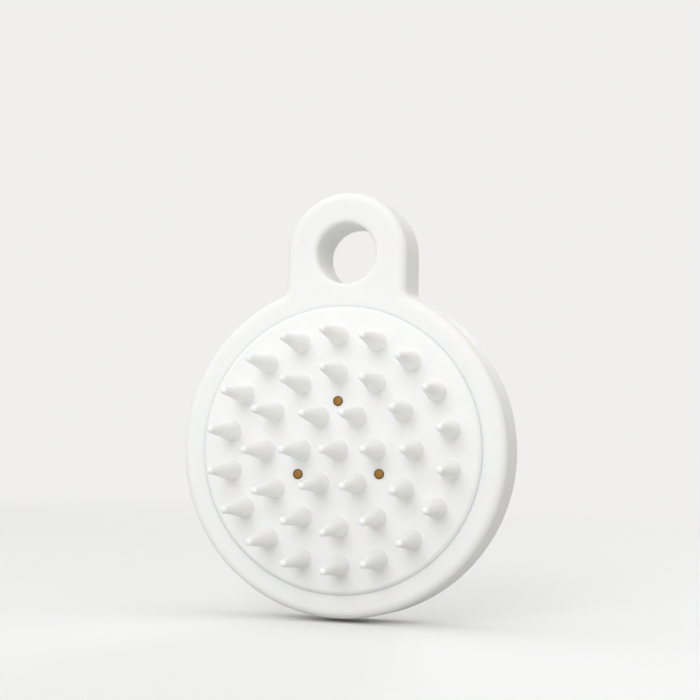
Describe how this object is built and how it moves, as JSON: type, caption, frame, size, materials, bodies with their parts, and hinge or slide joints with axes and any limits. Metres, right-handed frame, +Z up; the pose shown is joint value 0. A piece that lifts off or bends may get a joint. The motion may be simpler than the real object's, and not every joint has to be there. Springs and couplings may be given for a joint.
{
  "type": "shower scalp massager",
  "caption": "Round soft-touch shower scalp massager with a hanging loop, a domed pad of conical nubs, flush charging contacts and a sealed vibration drive.",
  "frame": {"origin": "centre of the hanging hole, half way through the loop's thickness", "axes": "+Z up from the round body to the loop, -Y out of the face with the nubs, +X to the right seen from the nubs"},
  "size_m": [0.08, 0.0317, 0.1018],
  "materials": {
    "soft_white": "satin",
    "pad_white": "satin",
    "button_white": "satin",
    "contact_gold": "satin",
    "core_grey": "matte",
    "gasket_black": "matte",
    "board_green": "satin",
    "component_black": "matte",
    "connector_cream": "satin",
    "light_clear": "gloss",
    "pouch_silver": "satin",
    "foam_grey": "matte",
    "lead_red": "satin",
    "lead_black": "satin",
    "motor_steel": "satin",
    "screw_steel": "satin",
    "weight_tungsten": "matte"
  },
  "bodies": {
    "massager": {"battery_cell": "pouch_silver", "battery_connector": "connector_cream", "battery_foam": "foam_grey", "battery_lead_negative": "lead_black", "battery_lead_positive": "lead_red", "board_screw_1": "screw_steel", "board_screw_2": "screw_steel", "board_screw_3": "screw_steel", "body_skin": "soft_white", "carrier_plate": "core_grey", "carrier_screw_1": "screw_steel", "carrier_screw_2": "screw_steel", "carrier_screw_3": "screw_steel", "carrier_screw_4": "screw_steel", "clamp_screw_1": "screw_steel", "clamp_screw_2": "screw_steel", "contact_pin_left": "contact_gold", "contact_pin_right": "contact_gold", "contact_pin_top": "contact_gold", "control_chip": "component_black", "core_cup": "core_grey", "light_pipe": "light_clear", "main_board": "board_green", "motor_can": "motor_steel", "motor_clamp": "core_grey", "motor_end_cap": "connector_cream", "motor_lead_negative": "lead_black", "motor_lead_positive": "lead_red", "nub_pad": "pad_white", "seal_ring": "gasket_black", "status_led": "connector_cream", "tact_switch": "component_black"},
    "button": {"power_button": "button_white", "button_seal": "gasket_black", "switch_plunger": "connector_cream"},
    "rotor": {"motor_shaft": "screw_steel", "eccentric_weight": "weight_tungsten"}
  },
  "joints": [
    {"name": "power_button_press", "type": "slide", "parent": "massager", "child": "button", "axis": [0, -1, 0], "range_m": [0, 0.0005], "stiffness_N_per_m": 1500},
    {"name": "motor_spin", "type": "hinge", "parent": "massager", "child": "rotor", "pos_m": [0, 0.00055, -0.0653], "axis": [1, 0, 0], "continuous": true}
  ]
}
